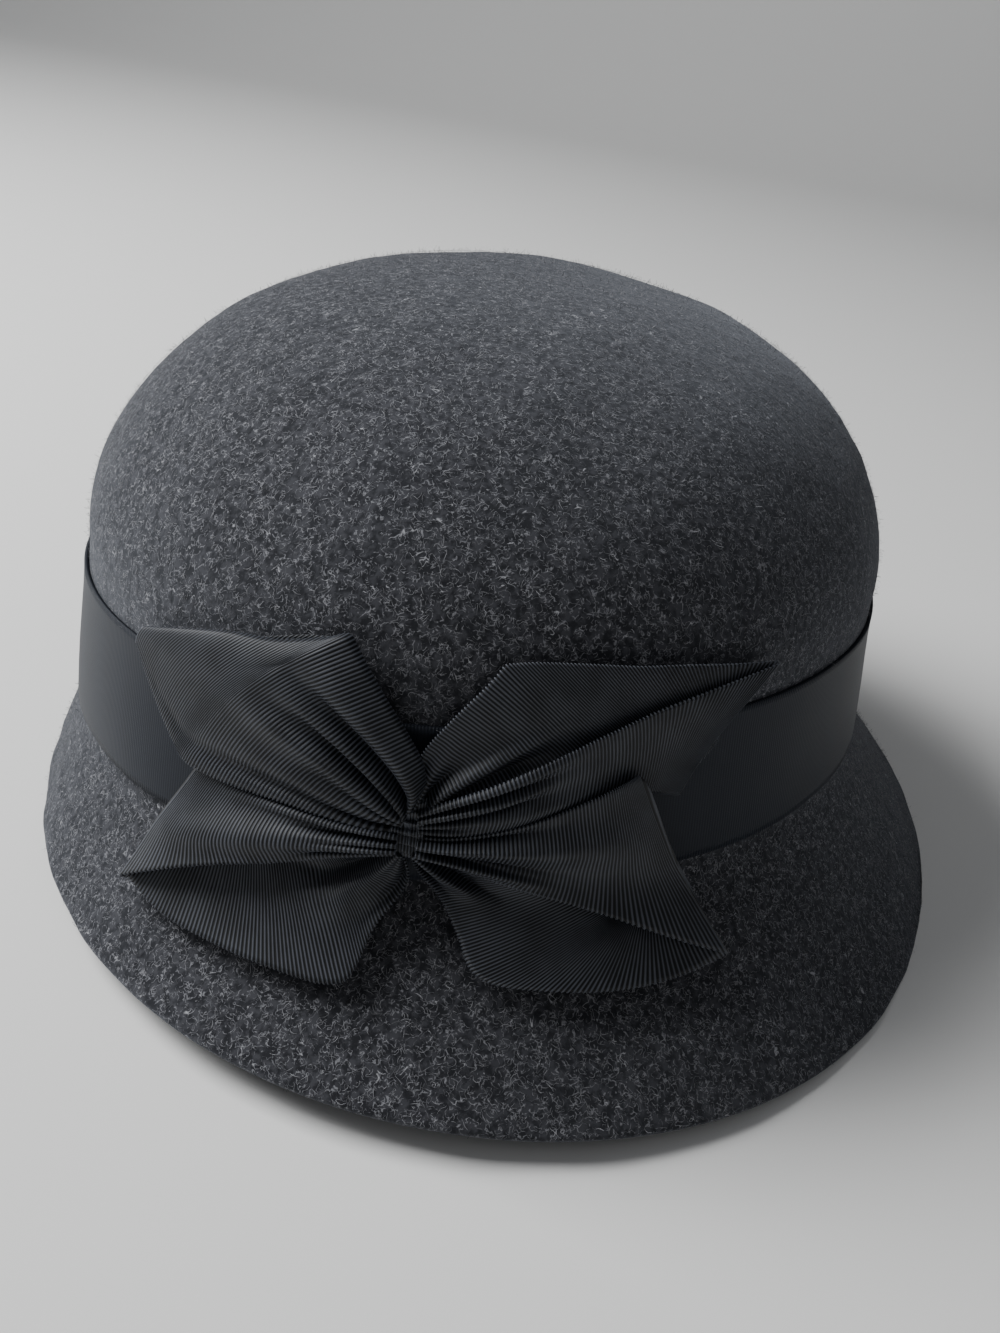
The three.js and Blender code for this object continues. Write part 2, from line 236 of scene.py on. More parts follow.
# %% Grid helpers
def grid_faces(rows, columns, wrap_columns):
    """Quads between the points of a grid, as rows of four point numbers."""
    across = columns if wrap_columns else columns - 1
    row, column = np.meshgrid(np.arange(rows - 1), np.arange(across), indexing="ij")
    after = (column + 1) % columns
    a, b = row * columns + column, row * columns + after
    c, d = (row + 1) * columns + after, (row + 1) * columns + column
    return np.stack([a, b, c, d], -1).reshape(-1, 4)


def mesh_object(name, points, faces, triangles=(), flat=None, replaced=()):
    """A smooth mesh in metres from points in millimetres; flat holds UVs in millimetres."""
    points, faces = np.asarray(points, float).reshape(-1, 3), np.asarray(faces, int)
    triangles = np.asarray(triangles, int).reshape(-1, 3)
    corners = np.concatenate([faces.ravel(), triangles.ravel()])
    sizes = np.concatenate([np.full(len(faces), faces.shape[1]), np.full(len(triangles), 3)])
    mesh = bpy.data.meshes.new(name)
    mesh.vertices.add(len(points))
    mesh.vertices.foreach_set("co", ((points + SHIFT) * MM).ravel())
    mesh.loops.add(len(corners))
    mesh.loops.foreach_set("vertex_index", corners)
    mesh.polygons.add(len(sizes))
    mesh.polygons.foreach_set("loop_start", np.concatenate([[0], np.cumsum(sizes)[:-1]]))
    mesh.polygons.foreach_set("use_smooth", np.ones(len(sizes), bool))
    if flat is not None:
        layer = mesh.uv_layers.new(name="cloth_mm")
        layer.data.foreach_set("uv", np.asarray(flat, float).reshape(-1, 2)[corners].ravel())
    mesh.update(calc_edges=True)
    mesh.validate()
    piece = bpy.data.objects.new(name, mesh)
    bpy.context.scene.collection.objects.link(piece)
    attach(piece, "root")
    if replaced:
        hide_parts(*replaced)
    return piece


def grid_normals(grid, wrap_columns=False):
    """Unit normals of a grid of points, from the points beside each one."""
    along = np.gradient(grid, axis=0)
    if wrap_columns:
        over = (np.roll(grid, -1, axis=1) - np.roll(grid, 1, axis=1)) / 2
    else:
        over = np.gradient(grid, axis=1)
    normal = np.cross(over, along)
    return normal / np.maximum(np.linalg.norm(normal, axis=-1, keepdims=True), 1e-12)


def waves(points, length, seed, terms=14):
    """Smooth seeded ripples between about -1 and 1, with a given wavelength in millimetres."""
    rng = np.random.default_rng(seed)
    ways = rng.normal(size=(terms, 3))
    ways *= (2 * np.pi / length) * rng.uniform(0.6, 1.5, (terms, 1)) / np.linalg.norm(ways, axis=1)[:, None]
    phases = rng.uniform(0, 2 * np.pi, terms)
    return np.sin(points @ ways.T + phases).sum(-1) * math.sqrt(2 / terms) / 1.6


# %% [markdown]
# ## The felt hood
# Crown and brim are one piece of wool felt about 2 mm thick, with a raw cut edge and no
# stitching. The wall is made as two skins, outside and inside, joined by a rounded rim. Steamed
# felt is never perfectly even, so low ripples move the skins by a fraction of a millimetre.

# %% Felt hood mesh
HOOD_COLUMNS = 320
BRIM_ROWS, WALL_ROWS, DOME_ROWS, RIM_ROWS = 30, 22, 42, 5
# Columns of a ripple: height and wavelength in millimetres, and the seed of its pattern.
RIPPLES = ((0.22, 34, 3), (0.10, 9, 4))
EDGE_RIPPLE = (0.18, 22, 5)
RIM_ROUNDNESS = 0.8


def ripple_of(points, height, length, seed):
    return height * waves(points, length, seed)


def hood_outside():
    """The hood's outer skin, ring by ring from the brim's edge to the top of the dome."""
    azimuth = np.linspace(0, 2 * np.pi, HOOD_COLUMNS, endpoint=False)
    rise = crease_rise(azimuth)
    brim_share = np.linspace(1, 0, BRIM_ROWS, endpoint=False)[:, None] ** 1.25
    wall_share = np.linspace(0, 1, WALL_ROWS, endpoint=False)[:, None]
    dome_share = np.sin(np.pi / 2 * np.linspace(0, 0.995, DOME_ROWS))[:, None]
    wall = crown(azimuth, rise + (WALL_HEIGHT - rise) * wall_share)
    dome = crown(azimuth, WALL_HEIGHT + (CROWN_HEIGHT - WALL_HEIGHT) * dome_share + 0 * azimuth)
    return np.concatenate([brim(azimuth, brim_share), wall, dome])


def felt_hood():
    """Both skins of the felt, the rim between them and the closed top."""
    outside = hood_outside()
    normals = grid_normals(outside, True)
    ripple = sum(ripple_of(outside, *values) for values in RIPPLES)
    ripple[: BRIM_ROWS // 3] += ripple_of(outside[: BRIM_ROWS // 3], *EDGE_RIPPLE)
    # The ribbon holds the felt smooth, so the ripples fade out near the band.
    near_band = np.exp(-(((np.arange(len(outside)) - BRIM_ROWS - WALL_ROWS / 3) / WALL_ROWS) ** 2) * 2)
    outside = outside + normals * (ripple * (1 - near_band[:, None]))[..., None]
    inside = outside - normals * FELT
    # A half-round rim from the outer skin to the inner one.
    middle, half = (outside[0] + inside[0]) / 2, (outside[0] - inside[0]) / 2
    down = outside[0] - outside[1]
    down *= (FELT / 2) / np.linalg.norm(down, axis=1, keepdims=True)
    rim = [
        middle - half * math.cos(t) + down * RIM_ROUNDNESS * math.sin(t)
        for t in np.linspace(0, math.pi, RIM_ROWS + 2)[1:-1]
    ]
    rings = np.concatenate([inside[::-1], np.array(rim), outside])
    rings[..., 2] = np.maximum(rings[..., 2], 0)
    faces = grid_faces(len(rings), HOOD_COLUMNS, True)
    # Each skin closes at the very top with a fan of triangles round one point.
    points = np.concatenate([rings.reshape(-1, 3), [rings[-1].mean(0), rings[0].mean(0)]])
    step = np.arange(HOOD_COLUMNS)
    after = (step + 1) % HOOD_COLUMNS
    last, top = (len(rings) - 1) * HOOD_COLUMNS, len(points) - 2
    fan_out = np.stack([last + step, last + after, 0 * step + top], 1)
    fan_in = np.stack([after, step, 0 * step + top + 1], 1)
    triangles = np.concatenate([fan_out, fan_in])
    return mesh_object(
        "felt_hood_wool", points, faces, triangles, replaced=("felt_hood",)
    )


hood = felt_hood()
print("felt hood:", len(hood.data.polygons), "faces")

# %% [markdown]
# ## Felt: dark wool with light hairs
# Melange felt is made of dark wool blended with a little white. Seen close, the white hairs are
# short curly flecks on a charcoal ground. Thin curly lines come from a simple trick: take the
# contour line of a soft noise, where it crosses one half, and let a second noise break it into
# pieces. Two sizes of this, with a little bump, give wool without any picture of wool.

# %% Felt finish
FELT_DARK, FELT_GREY = (0.0088, 0.0088, 0.0108, 1), (0.0365, 0.0365, 0.0415, 1)
FELT_FLECK, FELT_PALE = (0.215, 0.215, 0.23, 1), (0.38, 0.38, 0.40, 1)
CLOUD_SCALE = 650.0
# Columns of a set of lines: scale, width, share of the felt without any, and strength.
FINE_LINES, LONG_LINES = (950.0, 0.045, 0.42, 0.75), (520.0, 0.016, 0.54, 0.8)
LINE_FADE = 0.09


def node(tree, kind, **values):
    """A new shader node with its named inputs set."""
    made = tree.nodes.new(kind)
    for name, value in values.items():
        made.inputs[name.replace("_", " ")].default_value = value
    return made


def maths(tree, operation, first, second=0.0):
    """One arithmetic step on numbers or sockets."""
    made = tree.nodes.new("ShaderNodeMath")
    made.operation = operation
    for socket, value in zip(made.inputs, (first, second)):
        if isinstance(value, (int, float)):
            socket.default_value = value
        else:
            tree.links.new(value, socket)
    return made.outputs[0]


def smooth_range(tree, value, low, high, out_low=0.0, out_high=1.0):
    """A value eased from one range into another."""
    made = tree.nodes.new("ShaderNodeMapRange")
    made.interpolation_type = "SMOOTHSTEP"
    made.inputs["From Min"].default_value, made.inputs["From Max"].default_value = low, high
    made.inputs["To Min"].default_value, made.inputs["To Max"].default_value = out_low, out_high
    tree.links.new(value, made.inputs["Value"])
    return made.outputs["Result"]


def blend(tree, share, first, second):
    """A colour between two others; each is a colour or a socket."""
    made = tree.nodes.new("ShaderNodeMix")
    made.data_type = "RGBA"
    tree.links.new(share, made.inputs["Factor"])
    for socket, value in ((made.inputs[6], first), (made.inputs[7], second)):
        if isinstance(value, tuple):
            socket.default_value = value
        else:
            tree.links.new(value, socket)
    return made.outputs[2]


def noise(tree, place, scale, detail=2.0, distortion=0.0):
    made = node(tree, "ShaderNodeTexNoise", Scale=scale, Detail=detail, Distortion=distortion)
    tree.links.new(place, made.inputs["Vector"])
    return made.outputs["Fac"]


def curly_lines(tree, place, scale, width, bare):
    """Broken contour lines of a noise: 1 on a line, 0 off it; bare is the share without any."""
    ground = noise(tree, place, scale, 1.0, 0.6)
    off = maths(tree, "ABSOLUTE", maths(tree, "SUBTRACT", ground, 0.5))
    line = smooth_range(tree, off, width, 0.0)
    kept = smooth_range(tree, noise(tree, place, scale * 0.8, 2.0), bare, bare + LINE_FADE)
    return maths(tree, "MULTIPLY", line, kept)


def felt_material():
    material, tree = new_material("charcoal_melange_felt")
    surface = tree.nodes["Principled BSDF"]
    place = tree.nodes.new("ShaderNodeTexCoord").outputs["Object"]
    cloud = smooth_range(tree, noise(tree, place, CLOUD_SCALE, 4.0), 0.38, 0.64)
    ground = blend(tree, cloud, FELT_DARK, FELT_GREY)
    fine = curly_lines(tree, place, *FINE_LINES[:3])
    long_hairs = curly_lines(tree, place, *LONG_LINES[:3])
    colour = blend(tree, maths(tree, "MULTIPLY", fine, FINE_LINES[3]), ground, FELT_FLECK)
    colour = blend(tree, maths(tree, "MULTIPLY", long_hairs, LONG_LINES[3]), colour, FELT_PALE)
    tree.links.new(colour, surface.inputs["Base Color"])
    surface.inputs["Roughness"].default_value = 0.95
    surface.inputs["Specular IOR Level"].default_value = 0.15
    surface.inputs["Sheen Weight"].default_value = 0.22
    surface.inputs["Sheen Roughness"].default_value = 0.6
    surface.inputs["Sheen Tint"].default_value = (0.62, 0.66, 0.74, 1)
    height = maths(tree, "ADD", maths(tree, "MULTIPLY", cloud, 0.5), fine)
    bump = node(tree, "ShaderNodeBump", Strength=0.55, Distance=0.00025)
    tree.links.new(height, bump.inputs["Height"])
    tree.links.new(bump.outputs["Normal"], surface.inputs["Normal"])
    return material


hood.data.materials.append(felt_material())
print("felt finish on", hood.name)

# %% [markdown]
# ## Ribbon
# Band and bow are grosgrain: a ribbon whose thick crosswise threads stand up as ribs under a
# millimetre apart and end in tiny loops along both edges. The ribs decide how the light runs
# over a pleat, so they are real geometry here: four lines of points to a rib, moved up and down
# the surface's normal.

# %% Ribbon sizes and finish
GAP, BAND_THICKNESS = 0.08, 0.6
BAND_FOOT, BAND_HEIGHT = 0.8, 29.5
RIB, RIB_HEIGHT, LINES_PER_RIB = 0.64, 0.15, 4
RIBBON_THICKNESS, RIBBON_WIDTH = 0.42, 38.0
PICOT = 0.20
# How far along a rib the painted crest highlight begins and ends, as a cosine; the rest is painted groove
# shade.
CREST_FROM, CREST_TO = -0.35, 1.0
RIB_SHADE_MOTTLE_SCALE, RIB_SHADE_MOTTLE_SPREAD = 160.0, 0.25


def ribbon_material(name, lit_crest, shaded_groove, roughness, gloss, sheen):
    """Near-black ribbon: painted shade in the grooves between the ribs, a painted highlight on their
    crests.
    """
    material, tree = new_material(name)
    surface = tree.nodes["Principled BSDF"]
    where = node(tree, "ShaderNodeUVMap")
    where.uv_map = "cloth_mm"
    parts = tree.nodes.new("ShaderNodeSeparateXYZ")
    tree.links.new(where.outputs["UV"], parts.inputs["Vector"])
    phase = maths(tree, "MULTIPLY", parts.outputs["Y"], 2 * math.pi / RIB)
    rib = maths(tree, "COSINE", phase)
    place = tree.nodes.new("ShaderNodeTexCoord").outputs["Object"]
    # Soft noise moves the edge between painted crest highlight and painted groove shade, unevenly.
    patches = noise(tree, place, RIB_SHADE_MOTTLE_SCALE, 3.0)
    shade_mottle = smooth_range(tree, patches, 0.3, 0.7, -RIB_SHADE_MOTTLE_SPREAD, RIB_SHADE_MOTTLE_SPREAD)
    share = smooth_range(tree, maths(tree, "ADD", rib, shade_mottle), CREST_FROM, CREST_TO)
    tree.links.new(blend(tree, share, shaded_groove, lit_crest), surface.inputs["Base Color"])
    surface.inputs["Roughness"].default_value = roughness
    surface.inputs["Specular IOR Level"].default_value = gloss
    surface.inputs["Sheen Weight"].default_value = sheen
    surface.inputs["Sheen Roughness"].default_value = 0.45
    surface.inputs["Sheen Tint"].default_value = (0.62, 0.66, 0.75, 1)
    threads = node(tree, "ShaderNodeTexWave", Scale=0.9, Distortion=0.6)
    threads.bands_direction = "X"
    tree.links.new(where.outputs["UV"], threads.inputs["Vector"])
    bump = node(tree, "ShaderNodeBump", Strength=0.25, Distance=0.00004)
    tree.links.new(threads.outputs["Fac"], bump.inputs["Height"])
    tree.links.new(bump.outputs["Normal"], surface.inputs["Normal"])
    return material


# The ribbon's near-black with a painted highlight for the rib crests and painted shade for the grooves; the
# band's pair differs only a little, so its painted rib shading is faint.
BOW_LIT_CREST, BOW_SHADED_GROOVE = (0.060, 0.065, 0.078, 1), (0.0011, 0.0011, 0.0015, 1)
BAND_LIT_CREST, BAND_SHADED_GROOVE = (0.0165, 0.0195, 0.027, 1), (0.0125, 0.0148, 0.0205, 1)
bow_black = ribbon_material("black_grosgrain", BOW_LIT_CREST, BOW_SHADED_GROOVE, 0.47, 0.28, 0.04)
band_black = ribbon_material("band_grosgrain", BAND_LIT_CREST, BAND_SHADED_GROOVE, 0.45, 0.13, 0.03)
print("rib pitch", RIB, "mm, ribbon", RIBBON_WIDTH, "mm wide")

# %% [markdown]
# ## The hat band
# A ribbon is drawn tight round the foot of the crown and meets itself under the bow. Its ribs
# stand upright, and its two woven edges are a little thicker. The ring is a closed sheet: an
# outer face with ribs, an inner face without.

# %% Hat band
BAND_ROUND, BAND_CUT = 598.0, 610.0
BAND_COLUMNS = LINES_PER_RIB * round(BAND_ROUND / RIB)
OUTER_LEVELS, INNER_LEVELS = 8, 3
EDGE_SCALLOP, EDGE_SWELL, EDGE_WIDTH = 0.08, 0.10, 0.06
TIGHT_RIBS = 0.12
BAND_EASE = (0.16, 46, 11)


def hat_band():
    """The ring of ribbon: its outer face with ribs, its inner face without."""
    azimuth = np.linspace(0, 2 * np.pi, BAND_COLUMNS, endpoint=False)
    column = np.arange(BAND_COLUMNS)
    rib = np.cos(2 * np.pi * column / LINES_PER_RIB)
    outer_share = (1 - np.cos(np.pi * np.linspace(0, 1, OUTER_LEVELS))) / 2
    sides = []
    for out, share in ((GAP + BAND_THICKNESS, outer_share), (GAP, np.linspace(1, 0, INNER_LEVELS))):
        outer = out > GAP
        up = BAND_FOOT + (BAND_HEIGHT - BAND_FOOT) * share[:, None]
        at_edge = np.where(share == 0, -1, np.where(share == 1, 1, 0))[:, None]
        up = up + EDGE_SCALLOP * at_edge * rib
        face = crown(azimuth, crease_rise(azimuth) + up)
        swell = np.exp(-((share / EDGE_WIDTH) ** 2)) + np.exp(-(((1 - share) / EDGE_WIDTH) ** 2))
        relief = EDGE_SWELL * swell[:, None] + RIB_HEIGHT * TIGHT_RIBS * rib
        off = out + outer * (relief + ripple_of(face, *BAND_EASE))
        sides.append(face + outward(azimuth) * off[..., None])
    rings = np.concatenate(sides + [sides[0][:1]])
    along = np.broadcast_to(column * RIB / LINES_PER_RIB, rings.shape[:2])
    across = np.broadcast_to(np.linspace(0, 2 * BAND_HEIGHT, len(rings))[:, None], rings.shape[:2])
    flat = np.stack([across, along], -1)
    faces = grid_faces(len(rings), BAND_COLUMNS, True)
    # The ring of faces closes on its own first line of points.
    points = rings[:-1].reshape(-1, 3)
    faces = faces % len(points)
    piece = mesh_object(
        "hat_band_ribbon", points, faces, flat=flat[:-1], replaced=("hat_band",)
    )
    piece.data.materials.append(band_black)
    return piece


band = hat_band()
print("hat band:", len(band.data.polygons), "faces")

# %% [markdown]
# ## Laying ribbon over the hat
# The bow lies on band and brim, so it is easiest to draw on a flat pattern: the distance round
# the crown from the bow's middle, the height above the crease, and the lift off the band. One
# function carries such a point to its place, bridging the crease in a soft curve as ribbon does.

# %% From the flat pattern to the hat
KNOT_AZIMUTH, KNOT_UP = math.radians(10.5), 11.5
ROUND_CROWN, BRIDGING, CLEAR = 90.0, 9.0, 1.02


def laid(around, up, lift):
    """Where a point of the flat pattern comes on the hat, in millimetres."""
    around, up, lift = np.broadcast_arrays(*(np.asarray(v, float) for v in (around, up, lift)))
    azimuth = KNOT_AZIMUTH + around / ROUND_CROWN
    reach = np.hypot(up, BRIDGING)
    on_brim, on_wall = (reach - up) / 2, (reach + up) / 2
    crease, rim = crown(azimuth, crease_rise(azimuth)), brim_edge(azimuth)
    slope = np.arctan2(brim_reach(azimuth), crease[..., 2] - rim[..., 2])
    share = on_brim / (on_brim + on_wall)
    tilt = np.arctan2(share * np.sin(slope), 1 - share + share * np.cos(slope))
    off = GAP + BAND_THICKNESS + CLEAR + lift
    point = crown(azimuth, crease_rise(azimuth) + on_wall)
    point = point + outward(azimuth) * (on_brim * np.sin(slope) + off * np.cos(tilt))[..., None]
    point[..., 2] += off * np.sin(tilt) - on_brim * np.cos(slope)
    return point


print("the bow's middle is at", (laid(0, KNOT_UP, 3) + SHIFT).round(1), "mm")

# %% [markdown]
# ## Four ribbon loops
# Each loop of the bow is one length of ribbon: it leaves the middle, turns back in a fold and
# returns underneath, gathered small at both ends. A short table gives the lines across it, a
# row for each, from one woven edge to the other. The ribs of the ribbon run along these lines,
# so the rows fan out where the ribbon turns. A second table gives its pleats: ridges and
# hollows that run out from the middle and fade.

# %% Tables of the loops
# Columns of a row: around, up and lift of one end, the same of the other, and the bow outwards.
FRONT_ROWS = {
    "upper_left": [
        (-1.4, 12.6, 3.6, 0.0, 17.4, 3.4, 0.0),
        (-6.5, 12.8, 4.4, 1.6, 20.2, 3.2, 0.5),
        (-12.5, 13.6, 4.8, 1.6, 23.6, 2.9, 1.4),
        (-20.0, 14.6, 5.0, -1.6, 29.8, 2.4, 2.8),
        (-29.5, 15.0, 5.0, -7.4, 37.6, 1.9, 4.0),
        (-36.0, 15.3, 4.8, -11.6, 42.6, 1.6, 4.4),
        (-38.2, 15.6, 4.8, -13.2, 44.2, 1.5, 4.2),
        (-40.4, 16.2, 4.6, -16.6, 43.2, 1.4, 3.6),
        (-42.6, 18.0, 4.3, -25.0, 41.2, 1.3, 2.6),
        (-47.2, 22.3, 3.7, -34.6, 40.2, 1.2, 1.6),
        (-51.8, 26.8, 3.0, -44.4, 38.0, 1.2, 0.8),
        (-56.4, 31.4, 2.2, -55.0, 34.8, 1.3, 0.2),
    ],
    "lower_left": [
        (-1.4, 8.3, 3.6, -1.4, 12.4, 3.8, 0.0),
        (-6.5, 7.4, 4.4, -6.2, 12.8, 4.2, 0.4),
        (-12.5, 5.6, 4.8, -11.8, 13.2, 4.4, 0.8),
        (-19.0, 2.8, 5.8, -19.0, 13.9, 4.3, 1.4),
        (-27.0, -1.4, 6.6, -26.4, 14.4, 3.8, 1.8),
        (-34.8, -6.2, 6.4, -32.2, 14.6, 3.3, 1.8),
        (-42.2, -10.6, 4.8, -35.6, 15.8, 2.6, 1.4),
        (-47.4, -13.6, 2.6, -36.9, 17.0, 2.2, 1.2),
    ],
    "upper_right": [
        (1.4, 16.6, 3.4, 1.8, 12.8, 3.8, 0.0),
        (6.0, 19.4, 4.2, 6.6, 12.9, 4.4, 0.4),
        (12.0, 22.6, 4.8, 12.5, 13.6, 4.4, 0.8),
        (22.5, 27.6, 3.9, 21.5, 15.6, 3.8, 1.0),
        (31.0, 31.4, 3.1, 31.0, 17.4, 2.9, 1.0),
        (40.0, 34.6, 2.5, 39.4, 18.6, 2.4, 0.8),
        (49.5, 36.4, 2.0, 42.8, 18.0, 2.2, 0.0),
        (57.5, 37.5, 1.8, 44.6, 17.4, 2.1, -0.8),
        (64.8, 38.2, 1.7, 45.6, 17.2, 2.0, -1.8),
    ],
    "lower_right": [
        (1.8, 12.2, 3.8, 1.6, 8.4, 3.6, 0.0),
        (6.2, 12.6, 4.4, 5.8, 7.8, 4.4, 0.2),
        (11.5, 13.8, 4.8, 10.5, 6.2, 4.8, 0.4),
        (17.6, 15.4, 4.8, 16.0, 3.4, 5.0, 0.8),
        (25.0, 18.6, 5.0, 24.5, -1.4, 4.8, 1.0),
        (31.2, 21.4, 5.0, 33.2, -6.6, 4.3, 1.0),
        (34.6, 23.0, 4.9, 43.5, -12.8, 3.4, 0.8),
        (36.2, 23.8, 4.7, 52.0, -17.6, 2.3, 0.5),
    ],
}
BACK_ROWS = {
    "upper_left": [
        (-56.0, 31.2, 0.8, -54.6, 34.4, 0.7, 0.2),
        (-46.6, 24.0, 0.9, -34.0, 39.4, 0.6, 0.8),
        (-38.0, 19.0, 0.9, -14.6, 42.6, 0.6, 1.0),
        (-20.0, 17.0, 1.2, -4.8, 28.0, 0.9, 0.0),
        (-1.6, 13.4, 2.2, -0.8, 16.2, 2.2, 0.0),
    ],
    "lower_left": [
        (-47.2, -13.8, 0.7, -36.7, 16.6, 0.9, 1.2),
        (-38.5, -16.2, 0.6, -36.0, 11.5, 1.0, 1.0),
        (-27.5, -17.6, 0.6, -31.5, 10.2, 1.1, 0.0),
        (-16.5, -18.8, 0.6, -26.0, 9.0, 1.2, 0.0),
        (-8.0, -19.3, 0.7, -20.0, 8.2, 1.3, 0.0),
        (-6.2, -18.6, 0.8, -17.4, 8.0, 1.5, 0.0),
        (-3.4, -9.0, 1.0, -11.5, 7.8, 1.8, 0.0),
        (0.8, 3.0, 1.5, -6.0, 8.2, 2.2, 0.0),
        (-0.2, 6.8, 2.2, -1.8, 10.0, 2.4, 0.0),
    ],
    "upper_right": [
        (65.2, 38.2, 0.7, 45.4, 17.4, 0.9, -1.8),
        (57.0, 39.2, 0.6, 52.0, 24.0, 0.9, 0.0),
        (46.5, 40.5, 0.6, 53.0, 26.0, 0.9, 0.0),
        (36.5, 41.2, 0.6, 49.0, 26.0, 1.0, 0.0),
        (27.0, 42.0, 0.6, 43.0, 26.0, 1.1, 0.0),
        (14.8, 42.1, 0.7, 32.0, 26.0, 1.3, 0.4),
        (13.0, 41.8, 0.7, 30.0, 25.8, 1.3, 0.4),
        (11.6, 40.0, 0.7, 28.0, 25.2, 1.4, 0.6),
        (4.8, 31.8, 1.0, 18.0, 22.0, 1.9, 0.4),
        (0.5, 24.6, 1.5, 9.2, 17.6, 2.4, 0.2),
        (-0.2, 17.6, 2.2, 2.0, 13.6, 2.4, 0.0),
    ],
    "lower_right": [
        (51.9, -17.8, 0.7, 36.2, 23.2, 3.7, 0.5),
        (42.6, -19.2, 0.6, 42.0, 9.0, 1.0, 0.0),
        (32.6, -19.4, 0.6, 43.0, 3.0, 1.0, 0.0),
        (23.0, -18.4, 0.6, 42.0, -1.0, 1.0, 0.0),
        (14.2, -16.6, 0.7, 39.0, -2.6, 1.1, 0.0),
        (12.4, -15.4, 0.7, 37.0, -2.6, 1.2, 0.0),
        (9.4, -8.4, 0.9, 28.0, 1.0, 1.5, 0.6),
        (6.2, -1.6, 1.3, 18.0, 4.6, 2.0, 0.6),
        (2.2, 4.4, 1.9, 9.5, 7.6, 2.4, 0.3),
        (0.6, 7.8, 2.2, 2.0, 10.4, 2.4, 0.0),
    ],
}
# Columns of a pleat: its share across the ribbon, half width, height, and how far out it runs.
FRONT_PLEATS = {
    "upper_left": [
        (0.10, 0.035, -1.3, 50), (0.22, 0.07, 1.0, 34), (0.34, 0.03, -0.9, 22), (0.44, 0.08, 1.5, 40),
        (0.55, 0.04, -3.4, 31), (0.63, 0.04, 1.6, 30), (0.72, 0.04, -3.4, 35), (0.85, 0.08, 1.5, 38),
    ],
    "lower_left": [
        (0.18, 0.06, -1.3, 18), (0.45, 0.30, 2.2, 60), (0.70, 0.04, -1.1, 20), (0.93, 0.06, 1.0, 34),
    ],
    "upper_right": [
        (0.09, 0.07, 1.1, 34), (0.23, 0.045, -1.3, 28), (0.36, 0.06, 1.4, 27), (0.50, 0.05, -1.3, 24),
        (0.74, 0.13, 1.0, 36),
    ],
    "lower_right": [
        (0.12, 0.05, -1.3, 25), (0.38, 0.17, 1.9, 44), (0.64, 0.05, -1.0, 26), (0.86, 0.06, 1.4, 24),
    ],
}
BACK_PLEATS = {
    "upper_left": [(0.4, 0.1, 0.8, 20)],
    "lower_left": [(0.14, 0.07, -0.6, 22), (0.44, 0.16, 2.6, 27), (0.74, 0.07, -1.0, 24)],
    "upper_right": [
        (0.30, 0.07, 1.3, 13), (0.46, 0.06, -1.2, 17), (0.62, 0.06, 2.0, 32), (0.78, 0.05, -1.2, 28),
        (0.90, 0.06, 1.8, 34),
    ],
    "lower_right": [
        (0.12, 0.06, -0.7, 16), (0.33, 0.09, 2.7, 19), (0.52, 0.07, -1.4, 22), (0.76, 0.1, 1.2, 30),
    ],
}
# Where the ribs are counted: a share across the front layer and one across the back layer.
COUNTED_AT = {
    "upper_left": (0.5, 0.5),
    "lower_left": (0.5, 0.25),
    "upper_right": (0.4, 0.25),
    "lower_right": (0.5, 0.25),
}
print("loops:", ", ".join(FRONT_ROWS))

# %% From tables to a ribbon
ACROSS = 36
SMALL_GATHERS, GATHER_HEIGHT, GATHER_REACH = 3.5, 0.85, 12.0
FOLD_STEPS, FOLD_BULGE, FOLD_LEAD = 9, 0.8, 5
CURVE_STEPS = 600
# A pleat fades out round this share of its reach, over this share of it.
FADE_AT, FADE_OVER = 0.8, 0.09
FRONT_PHASE, BACK_PHASE = 0.6, 2.4
BACK_LOWEST, FRONT_LOWEST = 0.3, RIBBON_THICKNESS + 0.85
# The ribs are pressed flat at the middle and are full at this distance from it.
FULL_RIBS_AT = 10.0
ROLLED_LOOP = "upper_left"


def smooth_lines(rows, counted_at):
    """Lines across a layer at even steps of a quarter rib, on a smooth curve through the rows."""
    rows = np.array(rows, float)
    near = rows[:, :2] * (1 - counted_at) + rows[:, 3:5] * counted_at
    place = np.concatenate([[0], np.cumsum(np.linalg.norm(np.diff(near, axis=0), axis=1) + 0.5)])
    tangent = np.gradient(rows, place, axis=0)
    fine = np.linspace(0, place[-1], CURVE_STEPS)
    index = np.clip(np.searchsorted(place, fine, side="right") - 1, 0, len(rows) - 2)
    span = (place[index + 1] - place[index])[:, None]
    t = (fine[:, None] - place[index][:, None]) / span
    lines = (
        (2 * t**3 - 3 * t**2 + 1) * rows[index]
        + (t**3 - 2 * t**2 + t) * span * tangent[index]
        + (3 * t**2 - 2 * t**3) * rows[index + 1]
        + (t**3 - t**2) * span * tangent[index + 1]
    )
    near = lines[:, :2] * (1 - counted_at) + lines[:, 3:5] * counted_at
    length = np.concatenate([[0], np.cumsum(np.linalg.norm(np.diff(near, axis=0), axis=1))])
    count = max(8, round(length[-1] / RIB * LINES_PER_RIB))
    wanted = np.linspace(0, length[-1], count)
    return np.stack([np.interp(wanted, length, column) for column in lines.T], axis=1)


